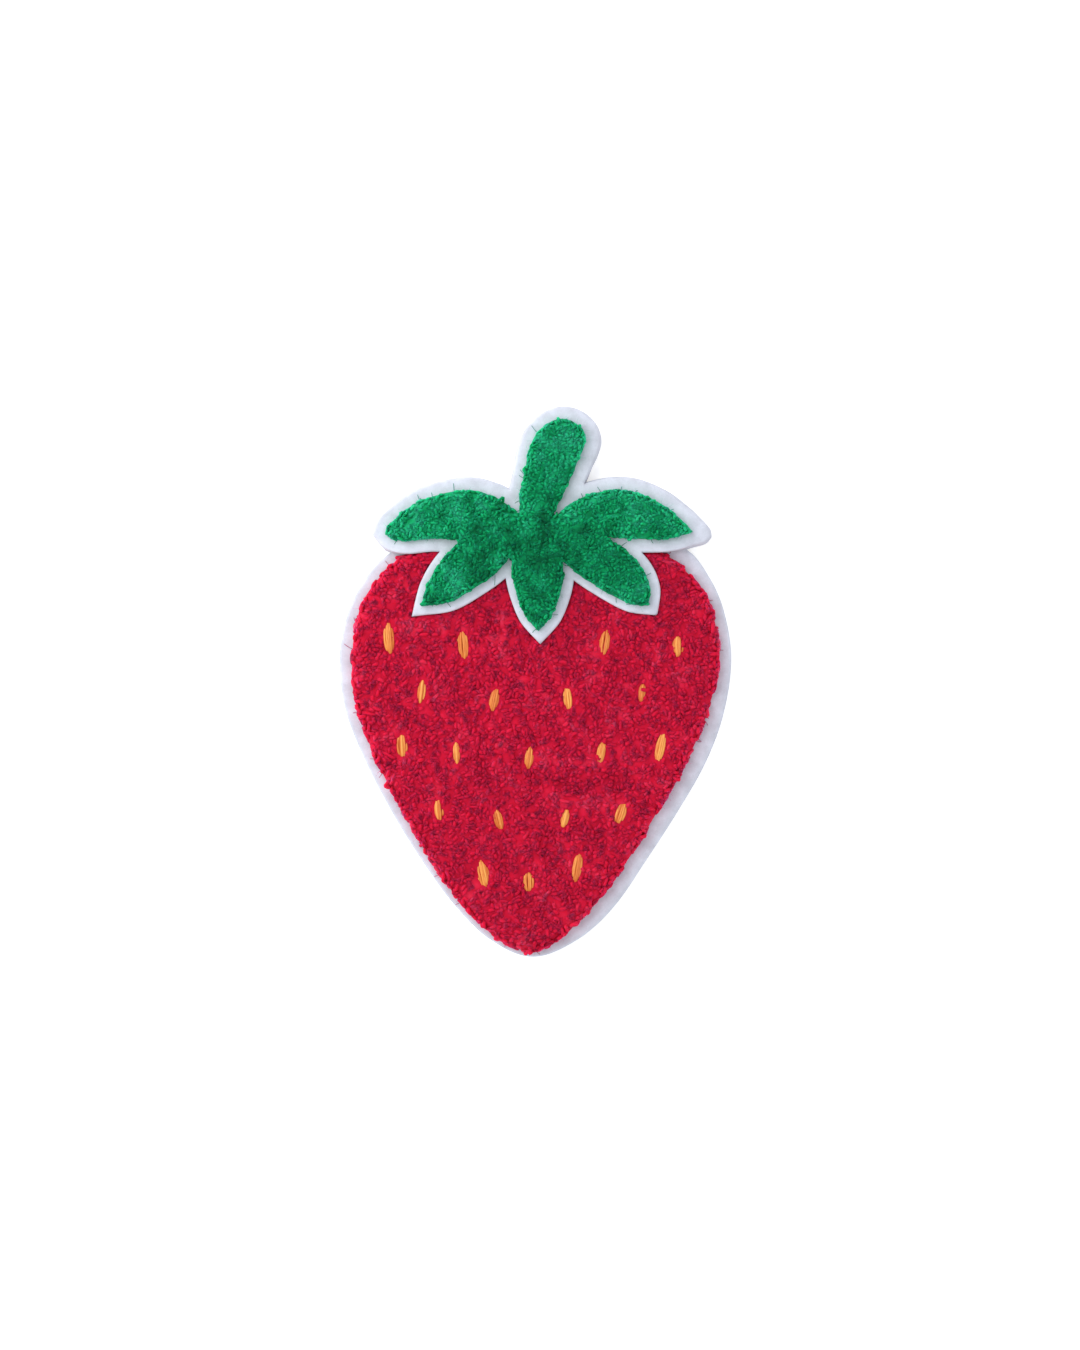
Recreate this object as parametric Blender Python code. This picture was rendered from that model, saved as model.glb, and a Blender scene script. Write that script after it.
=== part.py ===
"""A strawberry patch of two felt layers with chenille pile, lying face up.

It is built from the back to the face: a heat-seal film, an interlining and a base felt,
all cut to one silhouette; the red loop pile of the fruit with a well for each seed; and
the calyx, a felt cut-out with green loop pile, bonded down over the top of the fruit.
The frame: X across, Y up the patch, Z out of its face, with the origin at the middle of
its back. Lengths are in metres; MM turns the named millimetre values into them.
"""

import math

import bmesh
import bpy
from mathutils import Matrix, Vector
from mathutils.geometry import delaunay_2d_cdt

MM = 0.001

# Thicknesses of the layers, from the back to the face.
GAP = 0.3
FILM_THICKNESS = 0.25
INTERLINING_THICKNESS = 0.35
FELT_THICKNESS = 1.2
FRUIT_PILE_HEIGHT = 2.7
PRESSED_PILE_HEIGHT = 1.2
BOND_THICKNESS = 0.2
CALYX_FELT_THICKNESS = 0.9
LEAF_PILE_HEIGHT = 2.1

# Where each layer starts, measured up from the back.
INTERLINING_Z = FILM_THICKNESS + GAP
BASE_FELT_Z = INTERLINING_Z + INTERLINING_THICKNESS + GAP
PILE_Z = BASE_FELT_Z + FELT_THICKNESS + GAP

# How the felts are cut round the pile.
OUTER_MARGIN = 1.95  # of the calyx felt round the stem and the upper leaves
INNER_MARGIN = 1.3  # of the calyx felt round the leaves that lie on the fruit
BASE_MARGIN = 0.2  # of the base felt round the calyx felt
CUT_SHIFT = 0.3  # to the right, as the felts are cut off the stitching's centre

# How far an offset corner may reach, in offsets, and the turn between its points.
MITRE_REACH = 1.9
BLUNT_REACH = 1.25
CORNER_TURN = math.radians(35)

# How the calyx lies over the edge of the fruit's pile.
DRAPE_OUTSIDE = 4.0
DRAPE_INSIDE = 0.7

# A pile's rounded edge: its radius, and its height at the very edge as a share of the pile's.
PILE_EDGE_RADIUS = 1.1
PILE_EDGE_SHARE = 0.26

# How far a seed's top lies under the top of the pile round it.
SEED_SUNK = 0.35

# How finely the meshes are made: the spacing of the points along an outline and inside a
# sheet, the least distances of a ring's and a lattice's points from an edge, and so on.
OUTLINE_STEP = 1.3
SHEET_STEP = 2.6
RING_CLEARANCE = 0.2
LATTICE_CLEARANCE = 0.45 * SHEET_STEP
MERGED = 1e-5
WELL_POINTS = 14
SEED_SEGMENTS = 12
SEED_RINGS = 8
SHARP_ANGLE = math.radians(50)

# Outlines. A point is smooth unless it ends in CORNER.
CORNER = "corner"

FRUIT_FELT = [
    (-0.4, -44.9), (6.9, -42.1), (12.7, -36.9), (18.2, -29.0), (23.3, -21.1), (27.8, -13.2),
    (30.7, -5.4), (32.0, 3.5), (31.0, 10.8), (28.8, 16.4), (24.6, 21.7), (14.0, 26.0),
    (-14.0, 26.0), (-24.6, 20.4), (-29.0, 14.8), (-31.3, 8.8), (-32.0, 2.5), (-30.9, -5.0),
    (-27.9, -12.6), (-23.4, -21.3), (-18.5, -29.2), (-13.0, -36.7), (-7.2, -42.2),
]
FRUIT_PILE = [
    (-1.0, -44.0), (4.6, -41.4), (10.2, -35.8), (15.6, -28.5), (20.2, -20.9), (24.6, -13.3),
    (28.0, -5.5), (30.0, 3.6), (28.8, 12.0), (25.9, 16.7), (21.3, 20.8), (11.0, 25.0),
    (-11.0, 25.0), (-20.8, 21.2), (-25.6, 17.0), (-28.7, 12.0), (-30.0, 4.0), (-29.4, -3.0),
    (-26.5, -11.8), (-21.8, -21.0), (-16.9, -29.6), (-11.9, -36.4), (-6.4, -41.6),
]

HUB = (0.4, 24.0, CORNER)
STEM_LEFT = (-2.5, 27.2, CORNER)
STEM_RIGHT = (2.7, 26.6, CORNER)
RIGHT_NOTCH = (11.3, 23.4, CORNER)
LOWER_RIGHT_NOTCH = (4.3, 19.6, CORNER)
LOWER_LEFT_NOTCH = (-4.0, 20.2, CORNER)
LEFT_NOTCH = (-12.4, 22.9, CORNER)

# The stitched fields of the calyx, clockwise from the hub. Neighbours share two corners.
CALYX_FIELDS = {
    "stem_pile": [
        HUB, STEM_LEFT, (-2.7, 30.0), (-1.9, 34.0), (-1.1, 38.0), (0.7, 41.2), (4.2, 42.8),
        (7.2, 41.6), (8.3, 39.2), (7.2, 36.2), (5.4, 32.0), STEM_RIGHT,
    ],
    "leaf_pile_upper_right": [
        HUB, STEM_RIGHT, (5.2, 28.7), (8.8, 30.6), (14.4, 31.3), (19.6, 29.6), (23.6, 26.7),
        (25.9, 24.3, CORNER), (21.5, 23.1), (16.0, 23.0), RIGHT_NOTCH,
    ],
    "leaf_pile_lower_right": [
        HUB, RIGHT_NOTCH, (14.6, 21.5), (17.5, 18.3), (18.7, 15.0), (18.4, 12.2, CORNER),
        (14.9, 12.7), (10.2, 15.2), (6.6, 17.6), LOWER_RIGHT_NOTCH,
    ],
    "leaf_pile_centre": [
        HUB, LOWER_RIGHT_NOTCH, (4.7, 17.2), (4.1, 14.0), (2.6, 10.4), (0.5, 8.0, CORNER),
        (-1.6, 10.4), (-3.1, 14.0), (-3.9, 17.4), LOWER_LEFT_NOTCH,
    ],
    "leaf_pile_lower_left": [
        HUB, LOWER_LEFT_NOTCH, (-6.0, 17.8), (-9.6, 15.2), (-14.0, 12.8), (-18.7, 12.1, CORNER),
        (-17.9, 15.2), (-16.4, 18.2), (-14.4, 20.8), LEFT_NOTCH,
    ],
    "leaf_pile_upper_left": [
        HUB, LEFT_NOTCH, (-17.0, 23.1), (-22.0, 22.8), (-24.5, 24.4), (-22.4, 27.0), (-18.8, 29.5),
        (-11.6, 31.3), (-6.6, 30.2), (-4.2, 28.7), STEM_LEFT,
    ],
}

LEAVES_ON_FRUIT = ("leaf_pile_lower_right", "leaf_pile_centre", "leaf_pile_lower_left")

# Seeds, row by row from the top: x, y, the lean of the grain in degrees, and half of its
# length and of its width.
SEEDS = [
    (-23.8, 7.1, 4, 2.6, 1.05), (-11.7, 6.0, 4, 2.4, 1.05), (11.3, 6.4, -8, 2.2, 0.95),
    (23.2, 5.8, 0, 1.8, 1.0),
    (-18.5, -1.6, -7, 1.9, 0.75), (-6.7, -2.9, -12, 1.9, 0.9), (5.3, -2.7, 6, 1.9, 0.85),
    (17.3, -1.8, -7, 1.6, 0.65),
    (-21.7, -10.4, 2, 2.0, 1.05), (-12.8, -11.6, 3, 1.9, 0.65), (-1.0, -12.3, -8, 1.8, 0.85),
    (10.7, -11.5, -10, 1.9, 0.85), (20.3, -10.7, -12, 2.5, 1.0),
    (-15.7, -20.9, 6, 1.8, 0.8), (-6.0, -22.4, 14, 1.8, 0.8), (4.8, -22.2, -14, 1.5, 0.7),
    (13.9, -21.4, -18, 1.8, 1.05),
    (-8.5, -31.2, 12, 2.4, 1.0), (-1.1, -32.5, 2, 1.7, 1.0), (6.8, -30.2, -9, 2.4, 1.05),
]

COLOURS = {
    "film": (0.86, 0.87, 0.88),
    "interlining": (0.80, 0.81, 0.82),
    "felt": (0.80, 0.82, 0.88),
    "fruit_yarn": (0.47, 0.009, 0.036),
    "leaf_yarn": (0.006, 0.21, 0.085),
    "seed_thread": (0.83, 0.30, 0.07),
}


def material(name, roughness, coat=0.0):
    """A plain fabric or film in one of the patch's colours."""
    made = bpy.data.materials.new(name)
    made.use_nodes = True
    shader = made.node_tree.nodes["Principled BSDF"]
    shader.inputs["Base Color"].default_value = (*COLOURS[name], 1)
    shader.inputs["Roughness"].default_value = roughness
    shader.inputs["Metallic"].default_value = 0
    shader.inputs["Coat Weight"].default_value = coat
    return made


def outline(anchors):
    """Points along a closed curve through the anchors, as 2-D vectors."""
    count = len(anchors)
    spots = [Vector(anchor[:2]) for anchor in anchors]
    sharp = [len(anchor) == 3 for anchor in anchors]
    points = []
    for i in range(count):
        before, start, end, after = (spots[(i + k) % count] for k in (-1, 0, 1, 2))
        chord = end - start
        leave = chord if sharp[i] else scaled(end - before, chord.length)
        arrive = chord if sharp[(i + 1) % count] else scaled(after - start, chord.length)
        pieces = max(1, round(chord.length / OUTLINE_STEP))
        for k in range(pieces):
            points.append(hermite(start, leave, end, arrive, k / pieces))
    return points


def scaled(vector, length):
    return vector.normalized() * length


def hermite(start, leave, end, arrive, t):
    """A point on the cubic that leaves start along one vector and reaches end along another."""
    return (
        start * (2 * t**3 - 3 * t**2 + 1)
        + leave * (t**3 - 2 * t**2 + t)
        + end * (3 * t**2 - 2 * t**3)
        + arrive * (t**3 - t**2)
    )


def turns_left(points):
    ends = points[1:] + points[:1]
    return sum(a.x * b.y - a.y * b.x for a, b in zip(points, ends)) > 0


def grown(points, distance, shift=0.0, reach=1.0):
    """The outline moved outwards by a distance, and to the right by a shift.

    A corner that is pushed outwards is mitred up to a reach, in distances, and rounded
    beyond it; any other corner is mitred.
    """
    side = 1 if turns_left(points) else -1
    moved = []
    for i, point in enumerate(points):
        back = (point - points[i - 1]).normalized()
        ahead = (points[(i + 1) % len(points)] - point).normalized()
        turn = math.atan2(back.x * ahead.y - back.y * ahead.x, back.dot(ahead))
        square = side * Vector((back.y, -back.x))
        ways = [Matrix.Rotation(turn / 2, 2) @ square / max(math.cos(turn / 2), 1 / MITRE_REACH)]
        if distance > 0 and side * turn > CORNER_TURN:
            count = 2 * math.ceil(abs(turn) / CORNER_TURN / 2)
            ways = []
            for k in range(count + 1):
                angle = turn * k / count
                mitre = 1 / math.cos(min(abs(angle), abs(turn - angle)))
                ways.append(Matrix.Rotation(angle, 2) @ square * min(reach, mitre))
        moved += [point + way * distance + Vector((shift, 0)) for way in ways]
    return moved


def inside(point, points):
    """Whether a point is inside a closed outline."""
    found = False
    for a, b in zip(points, points[1:] + points[:1]):
        if (a.y > point.y) != (b.y > point.y):
            if point.x < a.x + (point.y - a.y) * (b.x - a.x) / (b.y - a.y):
                found = not found
    return found


def depth(point, points):
    """How far inside a closed outline a point is; negative outside it."""
    nearest = math.inf
    for a, b in zip(points, points[1:] + points[:1]):
        along = b - a
        t = min(1, max(0, (point - a).dot(along) / along.length_squared))
        nearest = min(nearest, (point - a - along * t).length)
    return nearest if inside(point, points) else -nearest


def region(outers, holes=(), rings=(), clearance=None):
    """Triangles that cover what lies in any outer outline and in no hole.

    Rings are extra lines of points inside it. A clearance fills it with a lattice of
    points, at least that far from its edge.
    """
    loops = [*outers, *holes]
    points = [point for loop in loops for point in loop]
    edges = []
    for loop in loops:
        first = len(edges)
        edges += [(first + k, first + (k + 1) % len(loop)) for k in range(len(loop))]
    points += [p for ring in rings for p in ring if covered(p, outers, holes, RING_CLEARANCE)]
    if clearance:
        points += lattice(outers, holes, clearance)
    found, _, faces, *_ = delaunay_2d_cdt(points, edges, [], 0, MERGED)
    kept = []
    for face in faces:
        middle = sum((found[i] for i in face), Vector((0, 0))) / len(face)
        if covered(middle, outers, holes, 0):
            kept.append(face)
    return found, kept


def covered(point, outers, holes, clearance):
    """Whether a point is in the region and at least this far from its edge."""
    if not any(depth(point, loop) > clearance for loop in outers):
        return False
    return all(depth(point, hole) < -clearance for hole in holes)


def lattice(outers, holes, clearance):
    """A triangular lattice of points inside the outer outlines, and off the holes."""
    xs = [point.x for loop in outers for point in loop]
    ys = [point.y for loop in outers for point in loop]
    row_height = SHEET_STEP * math.sqrt(3) / 2
    points = []
    for row in range(int((max(ys) - min(ys)) / row_height) + 1):
        for column in range(int((max(xs) - min(xs)) / SHEET_STEP) + 1):
            x = min(xs) + (column + 0.5 * (row % 2)) * SHEET_STEP
            point = Vector((x, min(ys) + row * row_height))
            if any(depth(point, loop) > clearance for loop in outers):
                if all(depth(point, hole) < -LATTICE_CLEARANCE for hole in holes):
                    points.append(point)
    return points


def sheet(name, covering, bottom, top, look):
    """A closed solid over a region, between a bottom and a top height in millimetres."""
    points, faces = covering
    mesh = bmesh.new()
    made = [mesh.verts.new((p.x * MM, p.y * MM, bottom(p) * MM)) for p in points]
    for face in faces:
        mesh.faces.new([made[i] for i in face])
    raised = bmesh.ops.extrude_face_region(mesh, geom=mesh.faces[:])
    for vertex in raised["geom"]:
        if isinstance(vertex, bmesh.types.BMVert):
            vertex.co.z = top(Vector((vertex.co.x, vertex.co.y)) / MM) * MM
    loose = [vertex for vertex in mesh.verts if not vertex.link_faces]
    bmesh.ops.delete(mesh, geom=loose, context="VERTS")
    bmesh.ops.recalc_face_normals(mesh, faces=mesh.faces[:])
    return node(name, mesh, look)


def node(name, mesh, look):
    """Turns a bmesh into a named object of the scene, with its material."""
    data = bpy.data.meshes.new(name)
    mesh.to_mesh(data)
    mesh.free()
    data.materials.append(look)
    data.shade_smooth()
    data.set_sharp_from_angle(angle=SHARP_ANGLE)
    made = bpy.data.objects.new(name, data)
    bpy.context.scene.collection.objects.link(made)
    return made


def edge_rings(points):
    """Two lines of points along the rounded edge of a pile."""
    return [grown(points, -PILE_EDGE_RADIUS / 3), grown(points, -PILE_EDGE_RADIUS)]


def rounded_edge(distance):
    """Share of the pile's height at this distance from its edge."""
    t = min(1, max(0, distance / PILE_EDGE_RADIUS))
    return PILE_EDGE_SHARE + (1 - PILE_EDGE_SHARE) * math.sqrt(1 - (1 - t) ** 2)


def drape(point, pile):
    """How far the calyx is lifted by the fruit's pile under it."""
    t = (depth(point, pile) + DRAPE_OUTSIDE) / (DRAPE_OUTSIDE + DRAPE_INSIDE)
    t = min(1, max(0, t))
    return (PRESSED_PILE_HEIGHT + GAP) * t * t * (3 - 2 * t)


def drape_bends(pile):
    """Lines of points where the drape bends, over and beside the edge of the fruit's pile."""
    return [pile, grown(pile, -DRAPE_INSIDE), grown(pile, DRAPE_OUTSIDE / 2)]


def level(height):
    """A height function of one value."""
    return lambda point: height


def well(x, y, lean, half_length, half_width):
    """The outline of the well in the pile round one seed."""
    turn = Matrix.Rotation(math.radians(lean), 2)
    reach = Vector((half_width + GAP, half_length + GAP))
    angles = [2 * math.pi * k / WELL_POINTS for k in range(WELL_POINTS)]
    return [
        Vector((x, y)) + turn @ Vector((reach.x * math.cos(a), reach.y * math.sin(a)))
        for a in angles
    ]


def backing_layers(silhouette):
    """The film, interlining and base felt, cut together to one silhouette."""
    layers = [
        ("heat_seal_film", 0, FILM_THICKNESS, material("film", 0.35, coat=0.3)),
        ("interlining", INTERLINING_Z, INTERLINING_THICKNESS, material("interlining", 0.9)),
        ("base_felt", BASE_FELT_Z, FELT_THICKNESS, material("felt", 0.95)),
    ]
    for name, start, thickness, look in layers:
        sheet(name, silhouette, level(start), level(start + thickness), look)


def calyx_cuts(fields, extra=0.0):
    """The outlines of the calyx felt round its fields, with an extra margin.

    Its corners are cut sharp over the fruit and blunt elsewhere.
    """
    cuts = []
    for name, field in fields.items():
        on_fruit = name in LEAVES_ON_FRUIT
        margin = INNER_MARGIN if on_fruit else OUTER_MARGIN
        reach = MITRE_REACH if on_fruit else BLUNT_REACH
        cuts.append(grown(field, margin + extra, CUT_SHIFT, reach))
    return cuts


def calyx_cutter(fields):
    """The room that the calyx needs in the fruit's pile."""
    room = region(calyx_cuts(fields, 2 * GAP))
    floor = level(PILE_Z + PRESSED_PILE_HEIGHT)
    roof = level(PILE_Z + 2 * FRUIT_PILE_HEIGHT)
    cutter = sheet("calyx_room", room, floor, roof, bpy.data.materials["felt"])
    cutter.hide_render = True
    cutter.display_type = "WIRE"
    return cutter


def fruit_pile(pile, fields):
    """The red loop pile, with a well for each seed, pressed flat under the calyx."""
    wells = [well(*seed) for seed in SEEDS]
    covering = region([pile], wells, edge_rings(pile), PILE_EDGE_RADIUS + LATTICE_CLEARANCE)

    def top(point):
        return PILE_Z + FRUIT_PILE_HEIGHT * rounded_edge(depth(point, pile))

    made = sheet("fruit_pile", covering, level(PILE_Z), top, material("fruit_yarn", 0.95))
    cut = made.modifiers.new("calyx_room", "BOOLEAN")
    cut.operation = "DIFFERENCE"
    cut.solver = "EXACT"
    cut.object = calyx_cutter(fields)


def seeds():
    """The seeds, each a bundle of lengthwise stitches, as plain grains."""
    look = material("seed_thread", 0.5)
    height = FRUIT_PILE_HEIGHT - SEED_SUNK
    for number, (x, y, lean, half_length, half_width) in enumerate(SEEDS, 1):
        mesh = bmesh.new()
        bmesh.ops.create_uvsphere(
            mesh, u_segments=SEED_SEGMENTS, v_segments=SEED_RINGS, radius=MM
        )
        bmesh.ops.scale(mesh, vec=(half_width, half_length, height / 2), verts=mesh.verts[:])
        seed = node(f"seed_{number:02d}", mesh, look)
        seed.location = (x * MM, y * MM, (PILE_Z + height / 2) * MM)
        seed.rotation_euler.z = math.radians(lean)


def calyx_sheets(pile, fields):
    """The bond film and the felt of the calyx, draped over the top edge of the fruit."""
    covering = region(calyx_cuts(fields), (), drape_bends(pile), LATTICE_CLEARANCE)
    heights = draped_heights(covering, pile)
    bond_z = PILE_Z
    felt_z = bond_z + BOND_THICKNESS + GAP
    for name, start, thickness, look in (
        ("calyx_bond_film", bond_z, BOND_THICKNESS, bpy.data.materials["film"]),
        ("calyx_felt", felt_z, CALYX_FELT_THICKNESS, bpy.data.materials["felt"]),
    ):
        draped_sheet(name, covering, heights, start, level(thickness), look)


def draped_heights(covering, pile):
    """The lift of each point of a region, by its rounded place."""
    return {place(point): drape(point, pile) for point in covering[0]}


def place(point):
    return (round(point.x, 2), round(point.y, 2))


def draped_sheet(name, covering, heights, start, thickness, look):
    """A sheet that follows the drape, of a thickness that may vary."""

    def bottom(point):
        return start + heights[place(point)]

    def top(point):
        return start + heights[place(point)] + thickness(point)

    return sheet(name, covering, bottom, top, look)


def calyx_piles(pile, fields):
    """The six stitched fields of green loop pile on the calyx felt."""
    look = material("leaf_yarn", 0.95)
    start = PILE_Z + BOND_THICKNESS + CALYX_FELT_THICKNESS + 2 * GAP
    for name, field in fields.items():
        edge = grown(field, -GAP / 2)
        rings = edge_rings(edge) + drape_bends(pile)
        covering = region([edge], (), rings, PILE_EDGE_RADIUS + LATTICE_CLEARANCE)

        def thickness(point, edge=edge):
            return LEAF_PILE_HEIGHT * rounded_edge(depth(point, edge))

        heights = draped_heights(covering, pile)
        draped_sheet(name, covering, heights, start, thickness, look)


def main():
    for old in bpy.data.objects[:]:
        bpy.data.objects.remove(old)
    pile = outline(FRUIT_PILE)
    fields = {name: outline(anchors) for name, anchors in CALYX_FIELDS.items()}
    backing_layers(region([outline(FRUIT_FELT), *calyx_cuts(fields, BASE_MARGIN)]))
    fruit_pile(pile, fields)
    seeds()
    calyx_sheets(pile, fields)
    calyx_piles(pile, fields)


main()
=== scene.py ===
"""The looks of a chenille strawberry patch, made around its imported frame.

The patch lies on its back, with its loop pile facing +Z and its stem towards +Y. Every
piece is made by one operator, and the panel in the 3D view's sidebar lists them in the
order in which they are made. Lengths are in metres; MM turns millimetres into them.
"""

import math

import bpy
import numpy as np
from bpy.props import FloatProperty, FloatVectorProperty, IntProperty, PointerProperty
from bpy.types import Operator, Panel, PropertyGroup
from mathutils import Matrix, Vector, noise
from mathutils.bvhtree import BVHTree
from mathutils.geometry import delaunay_2d_cdt


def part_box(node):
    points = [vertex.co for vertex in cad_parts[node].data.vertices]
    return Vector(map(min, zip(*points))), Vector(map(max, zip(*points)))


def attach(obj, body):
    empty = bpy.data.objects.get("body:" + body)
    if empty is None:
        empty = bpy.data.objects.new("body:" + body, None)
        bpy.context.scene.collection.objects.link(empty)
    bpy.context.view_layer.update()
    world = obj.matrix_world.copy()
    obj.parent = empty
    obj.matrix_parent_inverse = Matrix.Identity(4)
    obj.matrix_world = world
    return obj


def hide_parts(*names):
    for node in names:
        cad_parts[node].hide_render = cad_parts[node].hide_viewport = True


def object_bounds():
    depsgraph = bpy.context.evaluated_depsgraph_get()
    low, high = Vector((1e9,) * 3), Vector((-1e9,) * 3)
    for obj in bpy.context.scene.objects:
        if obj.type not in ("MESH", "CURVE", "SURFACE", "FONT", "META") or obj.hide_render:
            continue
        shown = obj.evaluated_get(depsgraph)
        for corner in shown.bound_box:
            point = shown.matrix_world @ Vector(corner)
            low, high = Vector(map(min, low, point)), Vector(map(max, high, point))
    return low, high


bl_info = {
    "name": "Chenille Strawberry Patch",
    "version": (1, 0, 0),
    "blender": (4, 5, 0),
    "location": "3D View > Sidebar > Patch",
    "description": "Makes the felts, loop piles and stitched seeds of a strawberry patch",
    "category": "Object",
}

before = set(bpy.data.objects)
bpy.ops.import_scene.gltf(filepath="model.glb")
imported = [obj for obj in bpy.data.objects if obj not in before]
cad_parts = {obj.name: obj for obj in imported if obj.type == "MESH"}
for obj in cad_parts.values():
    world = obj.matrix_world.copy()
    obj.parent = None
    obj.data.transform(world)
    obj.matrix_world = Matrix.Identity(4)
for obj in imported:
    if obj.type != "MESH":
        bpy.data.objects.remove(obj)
CAD_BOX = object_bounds()

MM = 0.001
BODY = "root"
SEEDS = sorted(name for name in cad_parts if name.startswith("seed_"))
LEAF_PILES = sorted(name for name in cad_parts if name.startswith("leaf_pile_"))
CALYX_PILES = ["stem_pile", *LEAF_PILES]

# The outlines and surfaces that are read from the CAD nodes.
OUTLINE_STEP = 0.45 * MM
CORNER_TURN = math.radians(40)
RAY_START = 0.1
NUDGE = 0.05 * MM

# Sheets, their uneven faces, and the ribs that stitches press into the film on the back.
SHEET_STEP = 1.0 * MM
LAYER_REACH = 0.13 * MM  # each layer reaches this far into the gap next to it
FELT_WAVE = 1.3 * MM
FILM_STEP = 0.6 * MM
RIB_SPACING = 2.4 * MM
RIB_WANDER = 1.5 * MM
RIB_HEIGHT = 0.14 * MM

# The rounded edge of a pile, and the matted ground below its loops.
PRESSED = 1.6 * MM  # the fruit's pile is pressed lower than this under the calyx
PILE_EDGE_RADIUS = 1.1 * MM
PILE_EDGE_SHARE = 0.26
MAT_INSET = 0.15 * MM
MAT_STEP = 0.5 * MM
MAT_RINGS = [0.3 * MM, 0.75 * MM]
MAT_EDGE_HEIGHT, MAT_HEIGHT = 0.45, 0.8  # shares of the pile's height
MAT_RIPPLES = ((0.16 * MM, 0.75 * MM), (0.2 * MM, 1.5 * MM))  # height and size

# Where the six fields of the calyx meet, and how they join.
HUB = np.array([0.4, 24.0]) * MM
HUB_REACH = 17 * MM
HUB_RISE = 10 * MM
SEAM_WIDTH = 0.5 * MM
SEAM_REACH = 0.3 * MM

# How light and dark tufts lie in a pile, and the painted shade and light laid over them:
# strength, size and shift of each pattern.
TONE = 0.42
TONE_SPREAD = 0.05
TUFTS = ((0.36, 1.6 * MM, 0.0), (0.4, 3.6 * MM, 7.0))
# Painted shade in the pits of the calyx's nap, laid as random patches.
LEAF_PIT_SHADE = (0.44, 2.3 * MM, 4.0)
# Painted shade at the hub, and painted light towards the leaf tips, above the hub and along a
# pile's edge.
HUB_SHADE = -0.16
TIP_LIGHT = 0.3
UPPER_LIGHT = 0.22
RIM_LIGHT = 0.12

# How loops are laid. Those within EDGE_BAND of an outline lie along it and stand upright.
EDGE_BAND = 0.9 * MM
ALONG_EDGE = 0.9
UPRIGHT = 0.85
ROW_SHIFT = 200 * MM  # so far that each loop of the edge's row stands anywhere along it
JITTER = 0.45
ARCH = 0.75
LEAN = 0.28
BOW = 0.22
SLANT = 0.18
FRUIT_WANDER, LEAF_WANDER = 0.16 * MM, 0.09 * MM
FRUIT_SPAN, LEAF_SPAN = (1.1, 2.2), (0.8, 1.6)  # a loop's shortest and longest, in mm
LEAF_TUFT = 1.3 * MM

# A yarn's cross-section and the number of sides and steps it is drawn with.
YARN_SIDES = 6
LOOP_STEPS = 8
PLY_PITCH = 2.2 * MM

# A loose fibre is 0.02 mm thick and is drawn at twice that, so that it shows.
FIBRE_RADIUS = 0.02 * MM
FIBRE_SIDES = 3
FIBRE_STEPS = 4

# Stray ends of yarn on the felts.
TAIL_RADIUS = 0.05 * MM
TAIL_SPACING = 7.5 * MM
TAIL_LENGTH = (0.7, 1.5)  # shortest and longest, in mm
TAIL_MARGIN = 0.15 * MM

# The loops stand this far off a seed, beyond its ends and its sides.
SEED_ROOM = np.array([0.45, 0.3]) * MM
SEED_STEPS = 15

# The studio. Each light has its name, place, size and power.
FLOOR_HALF = 3.0
FLOOR_GAP = 0.05 * MM
VIEW_SHIFT = np.array([0.76, 1.06]) * MM
LIGHTS = (
    ("key_light", (-0.22, 0.13, 0.24), 0.4, 1.1),
    ("fill_light", (0.4, -0.3, 0.9), 0.9, 1.5),
)
AIR_COLOUR = (0.93, 0.95, 1, 1)
AIR_STRENGTH = 0.7


def linear(code):
    """The linear colour of an sRGB hex code."""
    channels = [int(code[i : i + 2], 16) / 255 for i in (0, 2, 4)]
    return tuple(c / 12.92 if c <= 0.04045 else ((c + 0.055) / 1.055) ** 2.4 for c in channels)


class YarnSettings(PropertyGroup):
    """The loop pile's yarn."""

    fruit_colour: FloatVectorProperty(
        name="Fruit Yarn", description="Colour of the fruit's yarn", subtype="COLOR",
        min=0, max=1, default=linear("D6183C"),
    )
    leaf_colour: FloatVectorProperty(
        name="Leaf Yarn", description="Colour of the calyx's yarn", subtype="COLOR",
        min=0, max=1, default=linear("0C9A5B"),
    )
    fruit_diameter: FloatProperty(
        name="Fruit Yarn Diameter", description="Diameter of the fruit's yarn",
        unit="LENGTH", default=0.6 * MM,
    )
    leaf_diameter: FloatProperty(
        name="Leaf Yarn Diameter", description="Diameter of the calyx's yarn",
        unit="LENGTH", default=0.44 * MM,
    )
    fruit_spacing: FloatProperty(
        name="Fruit Loop Spacing", description="Distance between the fruit's loops",
        unit="LENGTH", default=0.8 * MM,
    )
    leaf_spacing: FloatProperty(
        name="Leaf Loop Spacing", description="Distance between the calyx's loops",
        unit="LENGTH", default=0.58 * MM,
    )
    fuzz_length: FloatProperty(
        name="Fuzz Length", description="Length of the fibres that stand out of the yarn",
        unit="LENGTH", default=0.5 * MM,
    )
    fuzz_per_loop: FloatProperty(
        name="Fuzz", description="Loose fibres on each loop", default=1.7,
    )
    seed: IntProperty(name="Seed", description="Seed of the loops' random lie", default=11)


class FeltSettings(PropertyGroup):
    """The two felts, their fibres and the layers on the back."""

    colour: FloatVectorProperty(
        name="Felt", description="Colour of both felts", subtype="COLOR",
        min=0, max=1, default=linear("D6D9E5"),
    )
    interlining_colour: FloatVectorProperty(
        name="Interlining", description="Colour of the interlining", subtype="COLOR",
        min=0, max=1, default=linear("E2E2E2"),
    )
    film_colour: FloatVectorProperty(
        name="Film", description="Colour of the hot-melt film", subtype="COLOR",
        min=0, max=1, default=linear("E9E8E2"),
    )
    edge_radius: FloatProperty(
        name="Edge Radius", description="Rounding of a felt's cut edge",
        unit="LENGTH", default=0.4 * MM,
    )
    unevenness: FloatProperty(
        name="Unevenness", description="How far a felt's surface rises and falls",
        unit="LENGTH", default=0.06 * MM,
    )


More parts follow.
